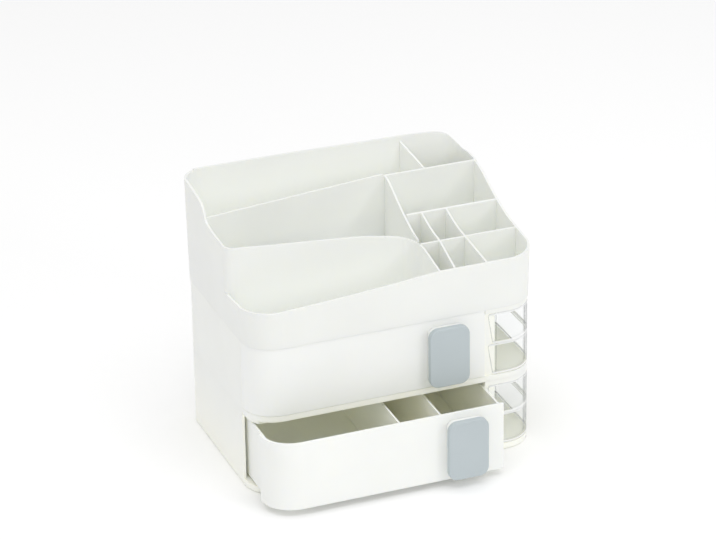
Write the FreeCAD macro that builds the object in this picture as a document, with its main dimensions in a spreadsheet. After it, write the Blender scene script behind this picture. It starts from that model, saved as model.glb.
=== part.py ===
"""Brush holder with drawers: two stacked modules, each with a wide drawer and two swing-out
corner trays, under a stepped organiser for brushes, bottles and lipsticks.

Millimetres. +Z is up, the front faces -Y and the trays are at the right, +X. The origin lies
on the table, under the middle of the whole with its lower drawer standing open.
"""

import FreeCAD, Part
import math
import os
import Sketcher

doc = FreeCAD.newDocument("BrushHolder")

# ---------------------------------------------------------------------------------------
# Driving dimensions
# ---------------------------------------------------------------------------------------

DRIVING = {
    # modules
    "width": 284,
    "depth": 186,
    "module_height": 75,
    "front_round": 30,
    "rear_round": 20,
    "wall": 2.2,
    "base_band": 5.8,
    "plate": 2.5,
    "top_band": 4.5,
    "foot_height": 0.8,
    # drawers
    "post_width": 10.4,
    "post_depth": 12,
    "drawer_inset": 5,
    "drawer_wall": 2,
    "drawer_front": 2.5,
    "drawer_back_gap": 4,
    "drawer_rim_drop": 5,
    "drawer_pull": 45,
    "runner_rise": 2.4,
    "drawer_travel": 110,
    "drawer_rear_clear": 10,
    "rail_inset": 20,
    "rail_start": 12,
    "stop_inset": 4,
    "stop_length": 60,
    "first_divider": 100.3,
    "second_divider": 59.3,
    "divider_thickness": 1.8,
    # handles
    "handle_width": 40,
    "handle_height": 60,
    "handle_round": 9,
    "handle_from_edge": 39.3,
    "handle_level": 39.2,
    "handle_base_depth": 6,
    "handle_pad_depth": 5,
    "handle_edge_round": 1.2,
    "handle_peg": 6,
    "handle_step": 1.5,
    "rivet": 1.2,
    # corner trays
    "tray_width": 41.7,
    "tray_wall": 1.8,
    "tray_gap": 1.0,
    "tray_back_gap": 2.5,
    "tray_tab": 8.6,
    "tray_tab_foot": 3.6,
    "tray_tab_thick": 1.5,
    "tray_front_round": 3,
    "tray_rear_round": 6,
    "tray_tab_round": 2.5,
    "pin_from_side": 7,
    "pin_from_front": 93,
    "pin_diameter": 4,
    "pin_seat": 1.5,
    "boss_wall": 3,
    # stacking pegs and feet
    "peg_diameter": 8,
    "peg_rise": 3,
    "peg_ring": 2.5,
    "peg_from_side": 34,
    "foot_diameter": 15,
    # organiser
    "organiser_height": 106,
    "organiser_overhang": 0.8,
    "organiser_draft": 0.8,
    "cell_floor": 6,
    "rear_floor": 46,
    "cell_wall": 2,
    "shelf_depth": 58,
    "first_row": 51,
    "second_row": 46,
    "third_row": 54,
    "block_width_front": 100.5,
    "block_width_middle": 97.2,
    "block_width_rear": 92,
    "brush_width_front": 51,
    "brush_width_rear": 62,
    "rear_divider_start": 123,
    "rear_divider_drop": 22,
    "tier_corner_round": 12,
    "tier_nook_round": 15,
    # running and seating clearances
    "slide_gap": 0.3,
    "seam_gap": 0.4,
    "pin_gap": 0.05,
    "seat_gap": 0.15,
}

sheet = doc.addObject("Spreadsheet::Sheet", "Sizes")
for row, (alias, value) in enumerate(DRIVING.items(), start=1):
    sheet.set("A%d" % row, alias)
    sheet.set("B%d" % row, str(value))
    sheet.setAlias("B%d" % row, alias)
doc.recompute()


class Size:
    """A length that carries its present value and the formula that ties it to the sheet."""

    def __init__(self, value, formula):
        self.value = value
        self.formula = formula

    def joined(self, sign, other, result):
        text = other.formula if isinstance(other, Size) else repr(float(other))
        return Size(result, "(%s %s %s)" % (self.formula, sign, text))

    def __add__(self, other):
        return self.joined("+", other, self.value + number(other))

    def __sub__(self, other):
        return self.joined("-", other, self.value - number(other))

    def __mul__(self, other):
        return self.joined("*", other, self.value * number(other))

    def __truediv__(self, other):
        return self.joined("/", other, self.value / number(other))

    def __radd__(self, other):
        return self + other


def number(length):
    """The plain value of a size or of a bare number."""
    return length.value if isinstance(length, Size) else float(length)


def size(alias):
    """The driving dimension of that name, tied to its cell."""
    return Size(float(sheet.get(alias)), "Sizes." + alias)


def bind(item, prop, length):
    """Give a property its value, and its formula where it has one."""
    if isinstance(length, Size):
        item.setExpression(prop, length.formula)
    elif prop.startswith(".Placement.Base."):
        setattr(item.Placement.Base, prop[-1], length)
    else:
        setattr(item, prop, length)


# ---------------------------------------------------------------------------------------
# Ways of making solids
# ---------------------------------------------------------------------------------------

CLEAR = 20          # how far a cutting tool runs past what it cuts
OVERLAP = 1         # how far two shapes run into each other where they are joined
PLANES = {"top": "XY_Plane", "front": "XZ_Plane", "side": "YZ_Plane"}


def place(item, x=0, y=0, z=0):
    """Move a finished object by lengths that stay tied to the sheet."""
    for letter, length in zip("xyz", (x, y, z)):
        if isinstance(length, Size):
            item.setExpression(".Placement.Base." + letter, length.formula)
    item.Placement = FreeCAD.Placement(
        FreeCAD.Vector(number(x), number(y), number(z)), item.Placement.Rotation
    )


def block(x0, x1, y0, y1, z0, z1):
    """A box between two corners."""
    item = doc.addObject("Part::Box", "Block")
    low = [Size(number(v), str(number(v))) if not isinstance(v, Size) else v for v in (x0, y0, z0)]
    for prop, start, end in zip(("Length", "Width", "Height"), low, (x1, y1, z1)):
        bind(item, prop, start * -1 + end)
    place(item, *low)
    return item


def disc(x, y, z0, z1, radius):
    """An upright cylinder."""
    item = doc.addObject("Part::Cylinder", "Disc")
    bind(item, "Radius", radius)
    start = z0 if isinstance(z0, Size) else Size(float(z0), str(float(z0)))
    bind(item, "Height", start * -1 + z1)
    place(item, x, y, z0)
    return item


def origin_plane(body, role):
    """The body's own origin plane of that role."""
    return next(f for f in body.Origin.OriginFeatures if f.Role == role)


def outline(body, plane, corners, offset):
    """A closed sketch of straight edges whose corners are tied to the sheet."""
    sketch = body.newObject("Sketcher::SketchObject", "Outline")
    sketch.AttachmentSupport = (origin_plane(body, PLANES[plane]), [""])
    sketch.MapMode = "FlatFace"
    points = [FreeCAD.Vector(number(a), number(b), 0) for a, b in corners]
    count = len(points)
    sketch.addGeometry(
        [Part.LineSegment(points[i], points[(i + 1) % count]) for i in range(count)], False
    )
    for i in range(count):
        sketch.addConstraint(Sketcher.Constraint("Coincident", i, 2, (i + 1) % count, 1))
    for i, corner in enumerate(corners):
        for kind, length in zip(("DistanceX", "DistanceY"), corner):
            index = sketch.addConstraint(
                Sketcher.Constraint(kind, -1, 1, i, 1, number(length))
            )
            if isinstance(length, Size):
                sketch.setExpression("Constraints[%d]" % index, length.formula)
    if isinstance(offset, Size):
        sketch.setExpression(".AttachmentOffset.Base.z", offset.formula)
    sketch.AttachmentOffset = FreeCAD.Placement(
        FreeCAD.Vector(0, 0, number(offset)), FreeCAD.Rotation()
    )
    return sketch


def prism(plane, corners, low, high, rounds=(), draft=0):
    """A straight-sided solid from an outline, between two levels along the plane's normal.

    rounds lists (corner number, radius) for the edges that stand on a corner.
    """
    body = doc.addObject("PartDesign::Body", "Prism")
    # the front plane's own normal points to -Y, so its levels are taken the other way round
    if plane == "front":
        low, high = high * -1, low * -1
    sketch = outline(body, plane, corners, low)
    pad = body.newObject("PartDesign::Pad", "Pad")
    pad.Profile = sketch
    start = low if isinstance(low, Size) else Size(float(low), str(float(low)))
    bind(pad, "Length", start * -1 + high)
    if number(draft):
        bind(pad, "TaperAngle", draft)
    doc.recompute()
    last = pad
    for radius in sorted({number(r) for _, r in rounds}):
        members = [(corner, r) for corner, r in rounds if number(r) == radius]
        names = [
            standing_edge(last.Shape, plane, corners[corner], low, high, draft)
            for corner, _ in members
        ]
        fillet = body.newObject("PartDesign::Fillet", "Round")
        fillet.Base = (last, names)
        bind(fillet, "Radius", members[0][1])
        doc.recompute()
        last = fillet
    body.Tip = last
    return body


def standing_edge(shape, plane, corner, low, high, draft):
    """The name of the edge that rises from a corner of the outline."""
    a, b = (number(v) for v in corner)
    foot = {
        "top": FreeCAD.Vector(a, b, number(low)),
        "front": FreeCAD.Vector(a, -number(low), b),
        "side": FreeCAD.Vector(number(low), a, b),
    }[plane]
    normal = {"top": (0, 0, 1), "front": (0, -1, 0), "side": (1, 0, 0)}[plane]
    normal = FreeCAD.Vector(*normal)
    best = None
    for i, edge in enumerate(shape.Edges, start=1):
        ends = [v.Point for v in edge.Vertexes]
        if len(ends) != 2:
            continue
        run = ends[1] - ends[0]
        if abs(run.normalize().dot(normal)) < 0.9:
            continue
        gap = min((end - foot).Length for end in ends)
        if best is None or gap < best[0]:
            best = (gap, "Edge%d" % i)
    return best[1]


def cut(base, *tools):
    """The base without its tools."""
    item = doc.addObject("Part::Cut", "Cut")
    item.Base = base
    item.Tool = tools[0] if len(tools) == 1 else fuse(*tools)
    return item


def fuse(*pieces):
    """One solid from several that touch or cross."""
    if len(pieces) == 1:
        return pieces[0]
    item = doc.addObject("Part::MultiFuse", "Fuse")
    item.Shapes = list(pieces)
    item.Refine = True
    return item


def common(*pieces):
    """What all the pieces share."""
    item = doc.addObject("Part::MultiCommon", "Common")
    item.Shapes = list(pieces)
    return item


nodes = []
slope = math.tan(math.radians(number(size("organiser_draft"))))
overhang = size("organiser_overhang")
# the origin lies under the middle of everything, the drawer that stands open included
set_back = (
    size("drawer_pull") + size("handle_base_depth") + size("handle_pad_depth")
    - overhang - size("organiser_height") * slope
) / 2


def node(item, name, x=0, y=0, z=0):
    """Name a finished piece, put it in its place and keep it for the hand-over."""
    item.Label = name
    place(item, x, set_back + y, z)
    nodes.append(item)
    return item


# ---------------------------------------------------------------------------------------
# Places that several pieces share
# ---------------------------------------------------------------------------------------

nothing = Size(0.0, "0")
width = size("width")
depth = size("depth")
wall = size("wall")
left = width / -2
right = width / 2
front = depth / -2
rear = depth / 2
module = size("module_height")
band = size("base_band")
bay_top = module - size("top_band")
gap = size("slide_gap")
front_round = size("front_round")
rear_round = size("rear_round")

drawer_front = size("drawer_front")
drawer_left = left + size("drawer_inset")
wrap_end = front + front_round + OVERLAP
tray_left = right - size("tray_width")
post_right = tray_left - size("tray_gap")
post_left = post_right - size("post_width")
post_back = front + size("post_depth")
drawer_right = post_left - gap * 2
pin_x = right - size("pin_from_side")
pin_y = front + size("pin_from_front")
pin_seat = size("pin_seat")
pin_radius = size("pin_diameter") / 2
pin_bore = pin_radius + size("pin_gap")
boss_radius = pin_radius + size("boss_wall")
bay_back = pin_y + size("pin_from_side") + size("tray_back_gap")
post_front = front + size("tray_tab_thick") + gap
runner_rise = size("runner_rise")
rail_height = runner_rise - gap
peg_x = right - size("peg_from_side")
peg_y = rear - size("peg_from_side")
peg_radius = size("peg_diameter") / 2
peg_bore = peg_radius + size("seat_gap")
peg_ring = peg_bore + size("peg_ring")
left_rail = drawer_left + size("rail_inset")
right_rail = drawer_right - size("rail_inset") - wall
rail_front = front + size("rail_start")
stop_front = front + size("stop_inset")
stop_half = size("stop_length") / 2
PEG_SIDES = ((-1, -1), (-1, 1), (1, -1), (1, 1))
levels = (size("foot_height"), size("foot_height") + module)
LEVEL_NAMES = ("lower", "upper")


def footprint(low, high, inset, draft=0):
    """The plan of a module, with its four rounded corners, drawn in by an inset."""
    corners = [
        (left + inset, front + inset),
        (right - inset, front + inset),
        (right - inset, rear - inset),
        (left + inset, rear - inset),
    ]
    rounds = [
        (0, front_round - inset),
        (1, front_round - inset),
        (2, rear_round - inset),
        (3, rear_round - inset),
    ]
    return prism("top", corners, low, high, rounds, draft)


# ---------------------------------------------------------------------------------------
# Housings: open at the front for the drawer and at the right front for the corner trays
# ---------------------------------------------------------------------------------------

def housing(name, level):
    """A moulded case with a skirt below, a rimmed roof above and four stacking pegs."""
    shell = footprint(nothing, module, nothing)
    # one open room: drawer space, and the space behind the trays' back wall
    inside = common(
        footprint(band, bay_top, wall),
        prism(
            "top",
            [
                (left - CLEAR, front - CLEAR),
                (post_right - wall, front - CLEAR),
                (post_right - wall, bay_back + wall),
                (right + CLEAR, bay_back + wall),
                (right + CLEAR, rear + CLEAR),
                (left - CLEAR, rear + CLEAR),
            ],
            band,
            bay_top,
        ),
    )
    post = block(post_left, post_right, post_front, post_back, band, bay_top)
    drawer_bay = cut(
        fuse(
            inside,
            block(left - CLEAR, post_right - wall, front - CLEAR, wrap_end, band, bay_top),
        ),
        post,
    )
    # in front of the post the walls step back, so that a tray's tab can lie over it
    post_step = block(
        post_left, post_right, front - CLEAR, post_front, band, bay_top
    )
    tray_bay = block(post_right, right + CLEAR, front - CLEAR, bay_back, band, bay_top)
    # the roof's front edge stands well back, and clears the drawer's rounded corner
    roof_edge = fuse(
        block(left - CLEAR, post_left, front - CLEAR, post_back, bay_top, module),
        cut(
            block(left - CLEAR, post_left, front - CLEAR, wrap_end, bay_top, module),
            footprint(bay_top - OVERLAP, module + OVERLAP, drawer_front + gap),
        ),
    )
    roof_recess = footprint(
        bay_top + size("plate"), module + OVERLAP, drawer_front + gap + wall
    )
    skirt = footprint(nothing - OVERLAP, band - size("plate"), wall)
    case = cut(shell, drawer_bay, post_step, tray_bay, roof_edge, roof_recess, skirt)

    rings = []
    bores = []
    pegs = []
    for side_x, side_y in PEG_SIDES:
        x = peg_x * side_x
        y = peg_y * side_y
        rings.append(disc(x, y, nothing, band - size("plate"), peg_ring))
        bores.append(disc(x, y, nothing - OVERLAP, band - size("plate"), peg_bore))
        pegs.append(disc(x, y, bay_top, module + size("peg_rise"), peg_radius))

    # rails that guide the drawer's runners, and the rib that stops it
    rails = [
        block(x, x + wall, rail_front, rear - wall / 2, band, band + rail_height)
        for x in (left_rail, right_rail)
    ]
    stop_rib = block(
        stop_half * -1, stop_half, stop_front, stop_front + wall, band, band + rail_height
    )
    sockets = [
        disc(pin_x, pin_y, band - pin_seat, band + OVERLAP, pin_bore),
        disc(pin_x, pin_y, bay_top - OVERLAP, bay_top + pin_seat, pin_bore),
    ]
    case = cut(fuse(case, *rings, *pegs, *rails, stop_rib), *bores, *sockets)
    return node(case, name + "_housing", z=level)


for level_name, level in zip(LEVEL_NAMES, levels):
    housing(level_name, level)

# ---------------------------------------------------------------------------------------
# Drawers: a box behind a front panel that wraps round the left corner
# ---------------------------------------------------------------------------------------

panel_low = band + gap
panel_high = module - size("seam_gap")
box_low = band + runner_rise
box_high = module - size("drawer_rim_drop") - size("seam_gap")
box_back = rear - wall - size("drawer_back_gap")
box_round = rear_round - size("drawer_rear_clear")
divider_high = box_high - OVERLAP
handle_x = drawer_right - size("handle_from_edge")
handle_z = size("handle_level")
handle_peg = size("handle_peg") / 2
peg_reach = size("handle_height") / 4
peg_heights = (handle_z - peg_reach, handle_z + peg_reach)
pulls = (size("drawer_pull"), nothing)


def rod(x, z, y0, y1, radius):
    """A cylinder that lies along Y."""
    item = doc.addObject("Part::Cylinder", "Rod")
    bind(item, "Radius", radius)
    bind(item, "Height", y0 * -1 + y1)
    item.Placement = FreeCAD.Placement(
        FreeCAD.Vector(), FreeCAD.Rotation(FreeCAD.Vector(1, 0, 0), -90)
    )
    place(item, x, y0, z)
    return item


def drawer(name, level, pull):
    """A moulded drawer with two dividers, runners and a stop under its floor."""
    panel = common(
        cut(footprint(panel_low, panel_high, nothing), footprint(band, module, drawer_front)),
        block(left - CLEAR, drawer_right, front - CLEAR, wrap_end - size("seam_gap"), band, module),
    )
    corners = [
        (drawer_left, front),
        (drawer_right, front),
        (drawer_right, box_back),
        (drawer_left, box_back),
    ]
    thick = size("drawer_wall")
    box = common(
        prism("top", corners, box_low, box_high, [(2, box_round), (3, box_round)]),
        footprint(band, module, nothing),
    )
    corners = [
        (drawer_left + thick, front),
        (drawer_right - thick, front),
        (drawer_right - thick, box_back - thick),
        (drawer_left + thick, box_back - thick),
    ]
    inner_round = box_round - thick
    room = common(
        prism("top", corners, box_low + thick, module, [(2, inner_round), (3, inner_round)]),
        footprint(band, module + OVERLAP, drawer_front),
    )
    dividers = [
        block(
            x, x + size("divider_thickness"), front + OVERLAP, box_back - OVERLAP,
            box_low, divider_high,
        )
        for x in (drawer_right - size("first_divider"), drawer_right - size("second_divider"))
    ]
    runners = [
        block(x, x + wall, rail_front, box_back - OVERLAP, panel_low, box_low + OVERLAP)
        for x in (left_rail + wall + gap, right_rail - wall - gap)
    ]
    catch_front = stop_front + wall + size("drawer_travel") + gap
    catch = block(
        stop_half * -1, stop_half, catch_front, catch_front + wall, panel_low,
        box_low + OVERLAP,
    )
    holes = [
        rod(handle_x, z, front - OVERLAP, front + CLEAR, handle_peg + size("seat_gap"))
        for z in peg_heights
    ]
    body = cut(fuse(cut(fuse(box, panel), room), *dividers, *runners, catch), *holes)
    return node(body, name + "_drawer", y=pull * -1, z=level)


for level_name, level, pull in zip(LEVEL_NAMES, levels, pulls):
    drawer(level_name, level, pull)

# ---------------------------------------------------------------------------------------
# Handles: a soft grey pad on a white base, riveted through the drawer's front
# ---------------------------------------------------------------------------------------

base_front = front - size("handle_base_depth")
pad_front = base_front - size("handle_pad_depth")
panel_back = front + drawer_front
rivet = size("rivet")


def tablet(y0, y1, inset):
    """An upright rounded rectangle of the handle's outline, drawn in by an inset."""
    half_x = size("handle_width") / 2 - inset
    half_z = size("handle_height") / 2 - inset
    corners = [
        (handle_x - half_x, handle_z - half_z),
        (handle_x + half_x, handle_z - half_z),
        (handle_x + half_x, handle_z + half_z),
        (handle_x - half_x, handle_z + half_z),
    ]
    radius = size("handle_round") - inset
    return prism("front", corners, y0, y1, [(i, radius) for i in range(4)])


for level_name, level, pull in zip(LEVEL_NAMES, levels, pulls):
    pegs = [
        rod(handle_x, z, front - OVERLAP, panel_back + rivet, handle_peg) for z in peg_heights
    ]
    heads = [
        rod(handle_x, z, panel_back, panel_back + rivet, handle_peg + rivet) for z in peg_heights
    ]
    base = fuse(tablet(base_front, front, size("handle_step")), *pegs, *heads)
    node(base, level_name + "_handle_base", y=pull * -1, z=level)

    pad = tablet(pad_front, base_front, nothing)
    flat = pad.Tip
    rim = [
        "Edge%d" % i
        for i, edge in enumerate(flat.Shape.Edges, start=1)
        if all(abs(v.Point.y - number(pad_front)) < 0.01 for v in edge.Vertexes)
    ]
    rounding = pad.newObject("PartDesign::Fillet", "SoftEdge")
    rounding.Base = (flat, rim)
    bind(rounding, "Radius", size("handle_edge_round"))
    pad.Tip = rounding
    node(pad, level_name + "_handle_pad", y=pull * -1, z=level)

# ---------------------------------------------------------------------------------------
# Clear corner trays, two on each pin
# ---------------------------------------------------------------------------------------

tray_height = (bay_top - band - size("tray_gap") * 3) / 2
tray_wall = size("tray_wall")
tray_rear = pin_y + size("pin_from_side")
tray_front_round = size("tray_front_round")
tab_round = size("tray_tab_round")


def tray(name, low):
    """A clear bin with a bored column at its rear right corner and a finger tab."""
    high = low + tray_height

    def plan(z0, z1, inset):
        corners = [
            (tray_left + inset, front + inset),
            (right - inset, front + inset),
            (right - inset, tray_rear - inset),
            (tray_left + inset, tray_rear - inset),
        ]
        rounds = [
            (0, tray_front_round - inset / 2),
            (1, front_round - inset),
            (2, boss_round - inset),
            (3, size("tray_rear_round") - inset),
        ]
        return prism("top", corners, z0, z1, rounds)

    boss_round = size("pin_from_side")
    column = disc(pin_x, pin_y, low, high, boss_radius)
    tab = prism(
        "front",
        [
            (tray_left - size("tray_tab_foot"), low),
            (tray_left + tray_front_round * 2, low),
            (tray_left + tray_front_round * 2, high),
            (tray_left - size("tray_tab"), high),
        ],
        front,
        front + size("tray_tab_thick"),
        [(3, tab_round), (0, tab_round)],
    )
    bin_shell = cut(plan(low, high, nothing), plan(low + tray_wall, high + OVERLAP, tray_wall))
    bore = disc(pin_x, pin_y, low - OVERLAP, high + OVERLAP, pin_bore)
    return node(cut(fuse(bin_shell, column, tab), bore), name)


for level_name, level in zip(LEVEL_NAMES, levels):
    first = level + band + size("tray_gap")
    tray(level_name + "_tray_bottom", first)
    tray(level_name + "_tray_top", first + tray_height + size("tray_gap"))
    foot = level + band - pin_seat
    pin = disc(pin_x, pin_y, foot, level + bay_top + pin_seat, pin_radius)
    node(pin, level_name + "_tray_pin", pin_x, pin_y, foot)

# ---------------------------------------------------------------------------------------
# Organiser: one moulding of stepped cells
# ---------------------------------------------------------------------------------------

organiser_height = size("organiser_height")
draft = size("organiser_draft")
top = organiser_height
cell_floor = size("cell_floor")
rear_floor = size("rear_floor")
cell_wall = size("cell_wall")
base_level = levels[1] + module


def tub(low, high, inset):
    """The organiser's drafted outline between two levels, drawn in by an inset."""
    return footprint(low, high, inset - overhang - low * slope, draft)


def above(plane, rim, low, high):
    """Everything over a smooth rim line, between two levels along the plane's normal.

    The line is a quadratic spline with the rim's places as its poles, which no sketch here can
    tie to the sheet, so its shape is worked out from the sheet's values.
    """
    def point(a, b, level):
        places = {"front": (a, level, b), "side": (level, a, b)}
        return FreeCAD.Vector(*places[plane])

    start = number(low)
    poles = [point(number(a), number(z), start) for a, z in rim]
    ceiling = number(top) + CLEAR
    corners = [point(number(rim[i][0]), ceiling, start) for i in (-1, 0)]
    curve = Part.BSplineCurve()
    curve.buildFromPoles(poles, False, 2)
    edges = [
        curve.toShape(),
        Part.makeLine(poles[-1], corners[0]),
        Part.makeLine(corners[0], corners[1]),
        Part.makeLine(corners[1], poles[0]),
    ]
    item = doc.addObject("Part::Feature", "Above")
    item.Shape = Part.Face(Part.Wire(edges)).extrude(point(0, 0, number(high) - start))
    return item


def plate(x0, y0, x1, y1, high):
    """An upright divider between two places in plan, as thick as a cell wall."""
    run_x = number(x1) - number(x0)
    run_y = number(y1) - number(y0)
    length = math.hypot(run_x, run_y)
    side_x = cell_wall * (run_y / length / 2)
    side_y = cell_wall * (run_x / length / 2)
    corners = [
        (x0 + side_x, y0 - side_y),
        (x1 + side_x, y1 - side_y),
        (x1 - side_x, y1 + side_y),
        (x0 - side_x, y0 + side_y),
    ]
    return prism("top", corners, cell_floor - OVERLAP, high)


def rim_line(start, direction, pairs):
    """A rim's places, measured from one side of the organiser, and its levels."""
    return [(start + direction * away, top - drop) for away, drop in pairs]


# places in plan
middle_front = front + size("shelf_depth")
block_front = right - size("block_width_front")
block_middle = right - size("block_width_middle")
block_rear = right - size("block_width_rear")
second_row = front + size("first_row")
third_row = second_row + size("second_row")
cross_y = third_row + size("third_row")
brush_rear = right - size("brush_width_rear")
brush_front = right - size("brush_width_front")
rear_divider_y = front + size("rear_divider_start")
corner_round = size("tier_corner_round")
nook_round = size("tier_nook_round")

# rims, as (distance from the front or the right side, drop below the top) along each wall;
# both ends of a line run past its wall
LEFT_RIM = [(53, 26.4), (88, 25.8), (103, 24.2), (114.6, 22), (118, 13.3), (125, 6.8),
            (147, 4.3), (163, 1.4), (260, 0.1)]
REAR_RIM = [(400, 0.1), (216, 0.2), (158, 0.8), (107, 2.1), (36, 2.5), (14, 7), (7, 15),
            (3.5, 19), (0, 24), (-28, 24.4)]
MIDDLE_RIM = [(400, 25.5), (273, 25.8), (252, 28.8), (215, 31.8), (154, 36.8), (133, 40.8),
              (116, 43.8), (96, 51.5)]
BLOCK_RIM = [(-27, 58.5), (0, 56.8), (21, 54.8), (37, 53.1), (53, 51.6), (69, 50.2),
             (95, 43.3), (116, 35.4), (135, 27.5), (150, 23.8), (154, 23.4)]
FRONT_RIM = [(400, 73), (267, 69.6), (238, 68.2), (211, 66.5), (159, 62.8), (102, 56.9),
             (82, 55.8)]
SIDE_RIM = [(-10, 68), (13, 69.5), (27.5, 70.4), (46.3, 71.8), (73.5, 73.8), (93, 75)]
BRUSH_RIM = [(143, 28), (152, 24), (186, 8), (260, -25)]
BRUSH_REACH = 8     # how far the brush divider's rim cut runs past it on each side

# the lipstick cells' side dividers, as distances from the right side at the back and the
# front of each row
COLUMNS = (((77, 77.5), (52, 52)), ((77.5, 83.5), (52, 51.5)))


def stepped_plan(inset, low):
    """The plan of everything behind the front tray: the middle and rear tiers and the block."""
    edge = left - overhang - OVERLAP
    corners = [
        (edge + inset, middle_front + inset),
        (block_middle + inset, middle_front + inset),
        (block_front + inset, front - CLEAR),
        (right + CLEAR, front - CLEAR),
        (right + CLEAR, rear + CLEAR),
        (edge + inset, rear + CLEAR),
    ]
    rounds = [(0, corner_round - inset), (1, nook_round + inset)]
    return prism("top", corners, low, top + OVERLAP * 2, rounds)


def rear_zone(inset, low, high):
    """The plan of the large rear cell, drawn in from its dividers by an inset."""
    lean = (cross_y - rear_divider_y) / (block_rear - left)
    corners = [
        (left - CLEAR, rear_divider_y - lean * CLEAR + inset),
        (block_rear, cross_y + inset),
        (brush_front - inset, cross_y + inset),
        (brush_rear - inset, rear + CLEAR),
        (left - CLEAR, rear + CLEAR),
    ]
    return prism("top", corners, low, high)


outer = tub(nothing, top, nothing)
hollow = tub(cell_floor, top + OVERLAP, wall)
underside = tub(nothing - OVERLAP, cell_floor - wall, wall)
base = cut(outer, hollow, underside)

inner_side = right + overhang / 2
inner_front = front - overhang / 2
rows = (third_row, second_row, inner_front)
plates = [
    plate(left, rear_divider_y, block_rear, cross_y, top - size("rear_divider_drop")),
    plate(block_rear, cross_y, inner_side, cross_y, top),
    plate(block_middle + cell_wall / 2, middle_front, block_rear, cross_y, top),
    plate(block_rear, third_row, inner_side, third_row, top),
    plate(block_middle, second_row, inner_side, second_row, top),
]
for back_row, front_row, columns in zip(rows, rows[1:], COLUMNS):
    plates += [
        plate(right - x_back, back_row, right - x_front, front_row, top)
        for x_back, x_front in columns
    ]
brush_divider = cut(
    plate(brush_rear, rear, brush_front, cross_y, top),
    above(
        "side", rim_line(front, 1, BRUSH_RIM), brush_rear - BRUSH_REACH, brush_front + BRUSH_REACH
    ),
)
tier_wall = common(
    cut(
        stepped_plan(nothing, cell_floor - OVERLAP),
        stepped_plan(cell_wall, cell_floor - OVERLAP * 2),
    ),
    tub(cell_floor - OVERLAP, top, overhang),
)
raised_floor = common(
    rear_zone(nothing, rear_floor - wall, rear_floor),
    tub(rear_floor - wall, rear_floor, overhang),
)
raised_underside = common(
    rear_zone(cell_wall / 2, nothing - OVERLAP, rear_floor - wall),
    tub(nothing - OVERLAP, rear_floor, wall),
)

# the rims: each wall's top is cut along its own line
block_plan = [
    (block_front - OVERLAP, front - CLEAR),
    (right + CLEAR, front - CLEAR),
    (right + CLEAR, cross_y + cell_wall / 2),
    (block_rear - cell_wall, cross_y + cell_wall / 2),
    (block_middle - OVERLAP, middle_front),
]
side_end = left + corner_round
shelf_end = middle_front + corner_round + cell_wall
rim_cuts = [
    above("side", rim_line(front, 1, LEFT_RIM), left - CLEAR, side_end),
    above("front", rim_line(right, -1, REAR_RIM), cross_y + cell_wall / 2, rear + CLEAR),
    above("front", rim_line(right, -1, MIDDLE_RIM), middle_front - CLEAR, middle_front + CLEAR / 2),
    common(
        above("side", rim_line(front, 1, BLOCK_RIM), block_front - OVERLAP, right + CLEAR),
        prism("top", block_plan, cell_floor, top + OVERLAP * 2),
    ),
    cut(
        above("front", rim_line(right, -1, FRONT_RIM), front - CLEAR, shelf_end),
        stepped_plan(nothing, cell_floor),
    ),
    cut(
        above("side", rim_line(front, 1, SIDE_RIM), left - CLEAR, side_end),
        stepped_plan(nothing, cell_floor),
    ),
]

rings = []
bores = []
for side_x, side_y in PEG_SIDES:
    x = peg_x * side_x
    y = peg_y * side_y
    ceiling = (rear_floor if (side_x, side_y) == (-1, 1) else cell_floor) - wall
    rings.append(disc(x, y, nothing, ceiling + OVERLAP, peg_ring))
    bores.append(disc(x, y, nothing - OVERLAP, ceiling, peg_bore))

moulding = cut(fuse(base, tier_wall, *plates, raised_floor), raised_underside)
moulding = cut(fuse(moulding, brush_divider, *rings), *bores, *rim_cuts)
node(moulding, "organiser_top", z=base_level)

# ---------------------------------------------------------------------------------------
# Feet: rubber discs with plugs pushed up into the lower module's rings
# ---------------------------------------------------------------------------------------

plug_rise = band - size("plate") - size("seat_gap")
feet = []
for side_x, side_y in PEG_SIDES:
    x = peg_x * side_x
    y = peg_y * side_y
    feet.append(
        fuse(
            disc(x, y, nothing, levels[0], size("foot_diameter") / 2),
            disc(x, y, nothing, levels[0] + plug_rise, peg_radius),
        )
    )
doc.recompute()
group = doc.addObject("Part::Compound", "Feet")
group.Links = feet
node(group, "rubber_feet")

# ---------------------------------------------------------------------------------------
# Hand-over
# ---------------------------------------------------------------------------------------

doc.recompute()

for item in doc.Objects:
    if "Invalid" in item.State or "Error" in item.State:
        raise RuntimeError("%s (%s) failed: %s" % (item.Name, item.Label, item.State))

os.makedirs("parts", exist_ok=True)
for item in nodes:
    shape = item.Shape
    if shape.isNull() or not shape.isValid():
        raise RuntimeError("%s has no valid shape" % item.Label)
    shape.exportStep(os.path.join("parts", item.Label + ".step"))
    box = shape.BoundBox
    print(
        "%-26s solids %d  volume %9.0f  x %7.1f %7.1f  y %7.1f %7.1f  z %6.1f %6.1f"
        % (item.Label, len(shape.Solids), shape.Volume, box.XMin, box.XMax,
           box.YMin, box.YMax, box.ZMin, box.ZMax)
    )
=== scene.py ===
"""White brush holder with drawers: finishes for its moulded pieces, clear trays and grey pads."""
import math
import bpy
from mathutils import Matrix, Vector

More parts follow.
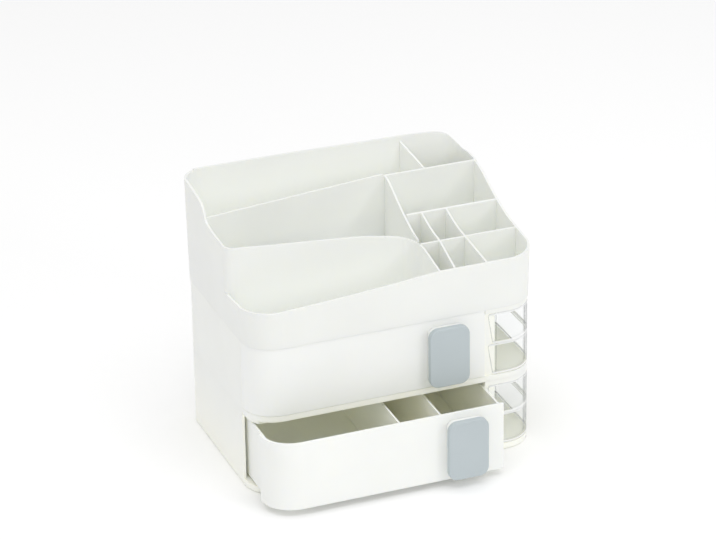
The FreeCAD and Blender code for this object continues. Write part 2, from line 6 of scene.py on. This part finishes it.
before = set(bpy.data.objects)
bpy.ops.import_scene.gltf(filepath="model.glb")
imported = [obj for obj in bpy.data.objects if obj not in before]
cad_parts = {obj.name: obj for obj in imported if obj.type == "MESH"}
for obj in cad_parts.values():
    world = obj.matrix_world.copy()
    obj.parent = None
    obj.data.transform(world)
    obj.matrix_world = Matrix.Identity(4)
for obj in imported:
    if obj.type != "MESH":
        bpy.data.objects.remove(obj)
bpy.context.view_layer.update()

# ---------------------------------------------------------------------------------------
# The two cases. Each is one white polypropylene moulding, satin from a finely etched mould, and
# the upper one stands on the lower one's pegs. Light goes a little way into the plastic, so thin
# walls glow, and their hollows have a lighter, warmer white painted in as a painted glow. Lengths
# are in metres, and noise is in waves to the metre.
# ---------------------------------------------------------------------------------------

case_white = (0.86, 0.87, 0.84, 1.0)
# Painted glow: the lighter, warmer white painted into the cases' hollows in place of light.
case_painted_glow = (0.985, 0.985, 0.89, 1.0)
plastic_ior = 1.49
light_share, light_depth = 0.4, 0.002
light_reach = (1.0, 0.96, 0.80)     # how far red, green and blue light goes, next to each other
# How far the painted glow reaches into the hollows.
painted_glow_reach = 0.07
dye_clouds, sheen_patches, mould_grain = 18.0, 60.0, 1400.0
sheen_swing = 0.04
grain_height = 0.0003
soft_samples = 6                    # rays per hit for hollows and rounded edges
crisp_edge = 0.00025


class Finish:
    """A new material with one Principled shader, and short ways to feed it from nodes."""

    def __init__(self, name):
        self.material = bpy.data.materials.new(name)
        self.material.use_nodes = True
        self.nodes = self.material.node_tree.nodes
        self.links = self.material.node_tree.links
        self.shader = self.nodes["Principled BSDF"]
        self.place = self.nodes.new("ShaderNodeTexCoord").outputs["Object"]

    def set(self, **values):
        """Fixed values on the shader's own sockets; an underscore stands for a space."""
        for socket, value in values.items():
            self.shader.inputs[socket.replace("_", " ")].default_value = value

    def noise(self, waves, detail, stretch=(1.0, 1.0, 1.0)):
        """Smooth noise over the piece, so many waves to the metre, stretched by its axes."""
        turn = self.nodes.new("ShaderNodeMapping")
        turn.inputs["Scale"].default_value = stretch
        field = self.nodes.new("ShaderNodeTexNoise")
        field.inputs["Scale"].default_value = waves
        field.inputs["Detail"].default_value = detail
        self.links.new(self.place, turn.inputs["Vector"])
        self.links.new(turn.outputs["Vector"], field.inputs["Vector"])
        return field.outputs["Fac"]

    def spread(self, value, low, high, start=0.3, end=0.7):
        """Carry start..end of a value to low..high."""
        scale = self.nodes.new("ShaderNodeMapRange")
        scale.inputs["From Min"].default_value = start
        scale.inputs["From Max"].default_value = end
        scale.inputs["To Min"].default_value = low
        scale.inputs["To Max"].default_value = high
        self.links.new(value, scale.inputs["Value"])
        return scale.outputs["Result"]

    def blend(self, value, first, second):
        """A colour between two, by a value from 0 to 1; the first may itself come from a node."""
        mix = self.nodes.new("ShaderNodeMix")
        mix.data_type = "RGBA"
        if isinstance(first, tuple):
            mix.inputs["A"].default_value = first
        else:
            self.links.new(first, mix.inputs["A"])
        mix.inputs["B"].default_value = second
        self.links.new(value, mix.inputs["Factor"])
        return mix.outputs["Result"]

    def hollow(self, reach, alone):
        """How shut in a place is: 0 in the open, 1 deep in a corner.

        With alone, only the piece's own walls count.
        """
        open_air = self.nodes.new("ShaderNodeAmbientOcclusion")
        open_air.samples = soft_samples
        open_air.only_local = alone
        open_air.inputs["Distance"].default_value = reach
        return self.spread(open_air.outputs["AO"], 1.0, 0.0, start=0.5, end=0.97)

    def rounded(self, radius):
        """The surface normal as if every edge had this radius."""
        edge = self.nodes.new("ShaderNodeBevel")
        edge.samples = soft_samples
        edge.inputs["Radius"].default_value = radius
        return edge.outputs["Normal"]

    def relief(self, height, strength, distance, normal):
        """A bump of that height field over a normal, fed to the shader."""
        bump = self.nodes.new("ShaderNodeBump")
        bump.inputs["Strength"].default_value = strength
        bump.inputs["Distance"].default_value = distance
        self.links.new(height, bump.inputs["Height"])
        self.links.new(normal, bump.inputs["Normal"])
        self.links.new(bump.outputs["Normal"], self.shader.inputs["Normal"])

    def feed(self, socket, value):
        """Link a value to one of the shader's sockets."""
        self.links.new(value, self.shader.inputs[socket])


def shade(colour, factor):
    """A colour made darker or lighter, still within white."""
    return tuple(min(1.0, c * factor) for c in colour[:3]) + (1.0,)


def moulded_plastic(
    name, colour, rough, etch=0.05, cloud=0.012, edge=0.0006, glow_colour=None, alone=True
):
    """A dyed moulding: faint clouds in the dye, a fine etched grain and rounded edges.

    One given a glow colour passes light a little way under its surface and has that lighter,
    warmer colour painted into its hollows, a painted glow standing in for the light there.
    """
    finish = Finish(name)
    finish.set(IOR=plastic_ior)
    clouds = finish.spread(finish.noise(dye_clouds, 3.0), 0.0, 1.0)
    dye = finish.blend(clouds, shade(colour, 1 - cloud), shade(colour, 1 + cloud))
    if glow_colour:
        finish.set(Subsurface_Weight=light_share, Subsurface_Radius=light_reach)
        finish.set(Subsurface_Scale=light_depth)
        # Painted glow: a lighter, warmer colour blended in by how shut in a place is.
        dye = finish.blend(finish.hollow(painted_glow_reach, alone), dye, glow_colour)
    finish.feed("Base Color", dye)
    patches = finish.noise(sheen_patches, 4.0)
    finish.feed("Roughness", finish.spread(patches, rough - sheen_swing, rough + sheen_swing))
    finish.relief(finish.noise(mould_grain, 2.0), etch, grain_height, finish.rounded(edge))
    return finish.material


def finish_with(material, *names):
    """Put a finish on carried-over pieces."""
    for name in names:
        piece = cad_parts[name]
        piece.data.materials.clear()
        piece.data.materials.append(material)


case_plastic = moulded_plastic(
    "case_white_satin", case_white, rough=0.42, edge=crisp_edge, glow_colour=case_painted_glow, alone=False
)
finish_with(case_plastic, "lower_housing", "upper_housing")

# ---------------------------------------------------------------------------------------
# The organiser. One deep white moulding with thin drafted walls; it drops over the upper case's
# pegs, and its hollows have a lighter, warmer white painted in as a painted glow.
# ---------------------------------------------------------------------------------------

organiser_white = (0.82, 0.83, 0.81, 1.0)
# Painted glow: the lighter, warmer white painted into the organiser's hollows.
organiser_painted_glow = (0.895, 0.905, 0.88, 1.0)
organiser_plastic = moulded_plastic(
    "organiser_white_satin", organiser_white, rough=0.40, edge=0.0005, glow_colour=organiser_painted_glow
)
finish_with(organiser_plastic, "organiser_top")

# ---------------------------------------------------------------------------------------
# The drawers. Each is a white moulding in one with its wrapped front, and runs on ribs on the
# case's floor.
# ---------------------------------------------------------------------------------------

drawer_white = (0.87, 0.88, 0.86, 1.0)
# Painted glow: the lighter, warmer white painted into the drawers' hollows.
drawer_painted_glow = (0.99, 0.99, 0.92, 1.0)
drawer_plastic = moulded_plastic(
    "drawer_white_satin", drawer_white, rough=0.38, edge=crisp_edge, glow_colour=drawer_painted_glow
)
finish_with(drawer_plastic, "lower_drawer", "upper_drawer")

# ---------------------------------------------------------------------------------------
# The handles. A grey pad with a fine matt grain is stuck to a white base, and the base's pegs are
# riveted through the drawer's front.
# ---------------------------------------------------------------------------------------

pad_grey = (0.47, 0.525, 0.545, 1.0)
finish_with(drawer_plastic, "lower_handle_base", "upper_handle_base")
pad_plastic = moulded_plastic("pad_grey_matt", pad_grey, rough=0.58, etch=0.12, cloud=0.02)
finish_with(pad_plastic, "lower_handle_pad", "upper_handle_pad")

# ---------------------------------------------------------------------------------------
# The corner trays. Clear polished plastic bins, two on each steel pin. Their walls let nearly
# all light through; the sides of their floors and rims are painted white, painted light for the
# light they gather, and their other edges, and walls seen at a glance, have grey painted shade.
# ---------------------------------------------------------------------------------------

# Painted light: the white of the floor and rim sides. Painted shade: the grey of edges and of
# walls seen at a glance.
painted_light_white = (0.98, 0.985, 0.98, 1.0)
painted_shade_grey = (0.11, 0.125, 0.145, 1.0)
clear_tint = (0.993, 0.995, 0.995, 1.0)
floor_side, rim_side, side_fade = 0.0018, 0.0012, 0.0002
side_cover, edge_cover, glance_cover = 0.9, 0.6, 0.85
tray_edge = 0.0009


def reckon(finish, operation, first, second=0.0):
    """One step of arithmetic on two values; the second may be a plain number."""
    step = finish.nodes.new("ShaderNodeMath")
    step.operation = operation
    for socket, term in zip(step.inputs, (first, second)):
        if isinstance(term, float):
            socket.default_value = term
        else:
            finish.links.new(term, socket)
    return step.outputs["Value"]


def clear_plastic(name):
    """Clear plastic for one tray: painted light in white at the sides of its floor and rim,
    painted shade in grey at its edges and at a glance.
    """
    heights = [corner.co.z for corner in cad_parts[name].data.vertices]
    floor_top, rim_foot = min(heights) + floor_side, max(heights) - rim_side
    finish = Finish(name + "_clear")
    finish.set(Roughness=0.08, IOR=plastic_ior)
    through = finish.nodes.new("ShaderNodeBsdfTransparent")
    through.inputs["Color"].default_value = clear_tint

    # Painted light: white sides of the floor and the rim, on upright faces only.
    level = finish.nodes.new("ShaderNodeSeparateXYZ")
    finish.links.new(finish.place, level.inputs["Vector"])
    height = level.outputs["Z"]
    floor_band = finish.spread(
        height, side_cover, 0.0, start=floor_top - side_fade, end=floor_top
    )
    rim_band = finish.spread(height, 0.0, side_cover, start=rim_foot, end=rim_foot + side_fade)
    surface = finish.nodes.new("ShaderNodeNewGeometry").outputs["Normal"]
    slant = finish.nodes.new("ShaderNodeSeparateXYZ")
    finish.links.new(surface, slant.inputs["Vector"])
    tilt = reckon(finish, "ABSOLUTE", slant.outputs["Z"])
    upright = finish.spread(tilt, 1.0, 0.0, start=0.2, end=0.5)
    bands = reckon(finish, "MULTIPLY", reckon(finish, "MAXIMUM", floor_band, rim_band), upright)

    # Painted shade in grey at edges, where the rounded surface turns away from the flat one.
    turned = finish.nodes.new("ShaderNodeVectorMath")
    turned.operation = "DOT_PRODUCT"
    finish.links.new(finish.rounded(tray_edge), turned.inputs[0])
    finish.links.new(surface, turned.inputs[1])
    edges = finish.spread(turned.outputs["Value"], edge_cover, 0.0, start=0.72, end=0.995)

    # Painted shade in grey on walls seen nearly edge on.
    grazing = finish.nodes.new("ShaderNodeLayerWeight")
    grazing.inputs["Blend"].default_value = 0.35
    glance = finish.spread(grazing.outputs["Facing"], 0.0, glance_cover, start=0.5, end=0.95)

    # The base colour: painted light in white on the bands, painted shade in grey at edges and
    # glances.
    finish.feed("Base Color", finish.blend(bands, painted_shade_grey, painted_light_white))
    shown = finish.nodes.new("ShaderNodeMixShader")
    cover = reckon(finish, "MAXIMUM", bands, reckon(finish, "MAXIMUM", edges, glance))
    finish.links.new(cover, shown.inputs["Fac"])
    finish.links.new(through.outputs["BSDF"], shown.inputs[1])
    finish.links.new(finish.shader.outputs["BSDF"], shown.inputs[2])
    finish.links.new(shown.outputs["Shader"], finish.nodes["Material Output"].inputs["Surface"])
    return finish.material


for tray in ("lower_tray_bottom", "lower_tray_top", "upper_tray_bottom", "upper_tray_top"):
    finish_with(clear_plastic(tray), tray)

# ---------------------------------------------------------------------------------------
# The pins. One drawn steel rod stands at the rear right corner of each case, and the two clear
# trays turn on it. Drawing has left fine lines along it.
# ---------------------------------------------------------------------------------------

line_grey, rod_grey = (0.58, 0.59, 0.60, 1.0), (0.70, 0.70, 0.71, 1.0)
steel = Finish("pin_steel")
steel.set(Metallic=1.0)
drawn = steel.noise(900.0, 2.0, stretch=(1.0, 1.0, 0.02))
steel.feed("Base Color", steel.blend(drawn, line_grey, rod_grey))
steel.feed("Roughness", steel.spread(drawn, 0.22, 0.38))
steel.relief(drawn, 0.1, 0.0001, steel.rounded(0.0003))
finish_with(steel.material, "lower_tray_pin", "upper_tray_pin")

# ---------------------------------------------------------------------------------------
# The feet. Four soft grey rubber discs, each moulded with a plug that is pressed into its ring
# under the lower case.
# ---------------------------------------------------------------------------------------

rubber_grey = (0.45, 0.46, 0.46, 1.0)
foot_rubber = moulded_plastic(
    "foot_rubber", rubber_grey, rough=0.75, etch=0.25, cloud=0.05, edge=0.0003
)
finish_with(foot_rubber, "rubber_feet")

# ---------------------------------------------------------------------------------------
# The studio: a pale floor, bright white all round, a large soft light overhead and two low ones
# from the front. Light goes through several clear walls and back and forth in the hollows.
# ---------------------------------------------------------------------------------------

scene = bpy.context.scene
scene.view_settings.view_transform = "Standard"
scene.cycles.max_bounces = 20
scene.cycles.diffuse_bounces = 12
scene.cycles.transparent_max_bounces = 32
floor_half = 4.0
floor_mesh = bpy.data.meshes.new("floor")
floor_mesh.from_pydata(
    [(-floor_half, -floor_half, 0), (floor_half, -floor_half, 0),
     (floor_half, floor_half, 0), (-floor_half, floor_half, 0)],
    [], [(0, 1, 2, 3)],
)
floor = bpy.data.objects.new("floor", floor_mesh)
scene.collection.objects.link(floor)
floor_paper = bpy.data.materials.new("floor_paper")
floor_paper.use_nodes = True
paper = floor_paper.node_tree.nodes["Principled BSDF"]
paper.inputs["Base Color"].default_value = (0.99, 0.99, 0.99, 1.0)
paper.inputs["Roughness"].default_value = 0.9
paper.inputs["Specular IOR Level"].default_value = 0.1
floor_mesh.materials.append(floor_paper)

world = bpy.data.worlds.new("studio")
scene.world = world
world.use_nodes = True
all_round = world.node_tree.nodes["Background"]
all_round.inputs["Color"].default_value = (1.0, 1.0, 1.0, 1.0)
all_round.inputs["Strength"].default_value = 0.745


def softbox(name, place, target, size, power):
    """A square area light that faces a point."""
    lamp = bpy.data.lights.new(name, "AREA")
    lamp.shape = "SQUARE"
    lamp.size = size
    lamp.energy = power
    item = bpy.data.objects.new(name, lamp)
    item.location = place
    item.rotation_mode = "QUATERNION"
    item.rotation_quaternion = (Vector(target) - Vector(place)).to_track_quat("-Z", "Y")
    scene.collection.objects.link(item)


softbox("overhead", (-0.1, -0.4, 2.6), target=(0.0, 0.0, 0.1), size=2.4, power=25.0)
softbox("right_front", (1.3, -2.0, 1.0), target=(0.0, 0.0, 0.15), size=0.6, power=5.8)
softbox("left_front", (-0.7, -2.4, 0.8), target=(0.0, 0.0, 0.15), size=0.9, power=3.4)

# ---------------------------------------------------------------------------------------
# The camera: a long lens, from the front left and above. It is first pointed at the aim and then
# slid sideways and up, so the object stands a little below the middle.
# ---------------------------------------------------------------------------------------

azimuth, elevation, roll = (math.radians(v) for v in (-21.056, 25.713, -0.89))
stand_off = 3.321
slide_right, slide_up = -0.00219, 0.06126
film_width = 36.0
lens_to_film = 3500 / 716
aim = Vector((0.0, 0.02686, 0.1))
back = Vector((
    math.sin(azimuth) * math.cos(elevation),
    -math.cos(azimuth) * math.cos(elevation),
    math.sin(elevation),
))
level_right = Vector((math.cos(azimuth), math.sin(azimuth), 0.0))
level_up = back.cross(level_right)
right = math.cos(roll) * level_right + math.sin(roll) * level_up
up = -math.sin(roll) * level_right + math.cos(roll) * level_up
camera = bpy.data.cameras.new("camera")
camera.sensor_width = film_width
camera.lens = lens_to_film * film_width
camera.clip_start, camera.clip_end = 0.05, 50.0
camera_item = bpy.data.objects.new("camera", camera)
spot = aim + back * stand_off + right * slide_right + up * slide_up
turn = Matrix((right, up, back)).transposed().to_4x4()
camera_item.matrix_world = Matrix.Translation(spot) @ turn
scene.collection.objects.link(camera_item)
scene.camera = camera_item
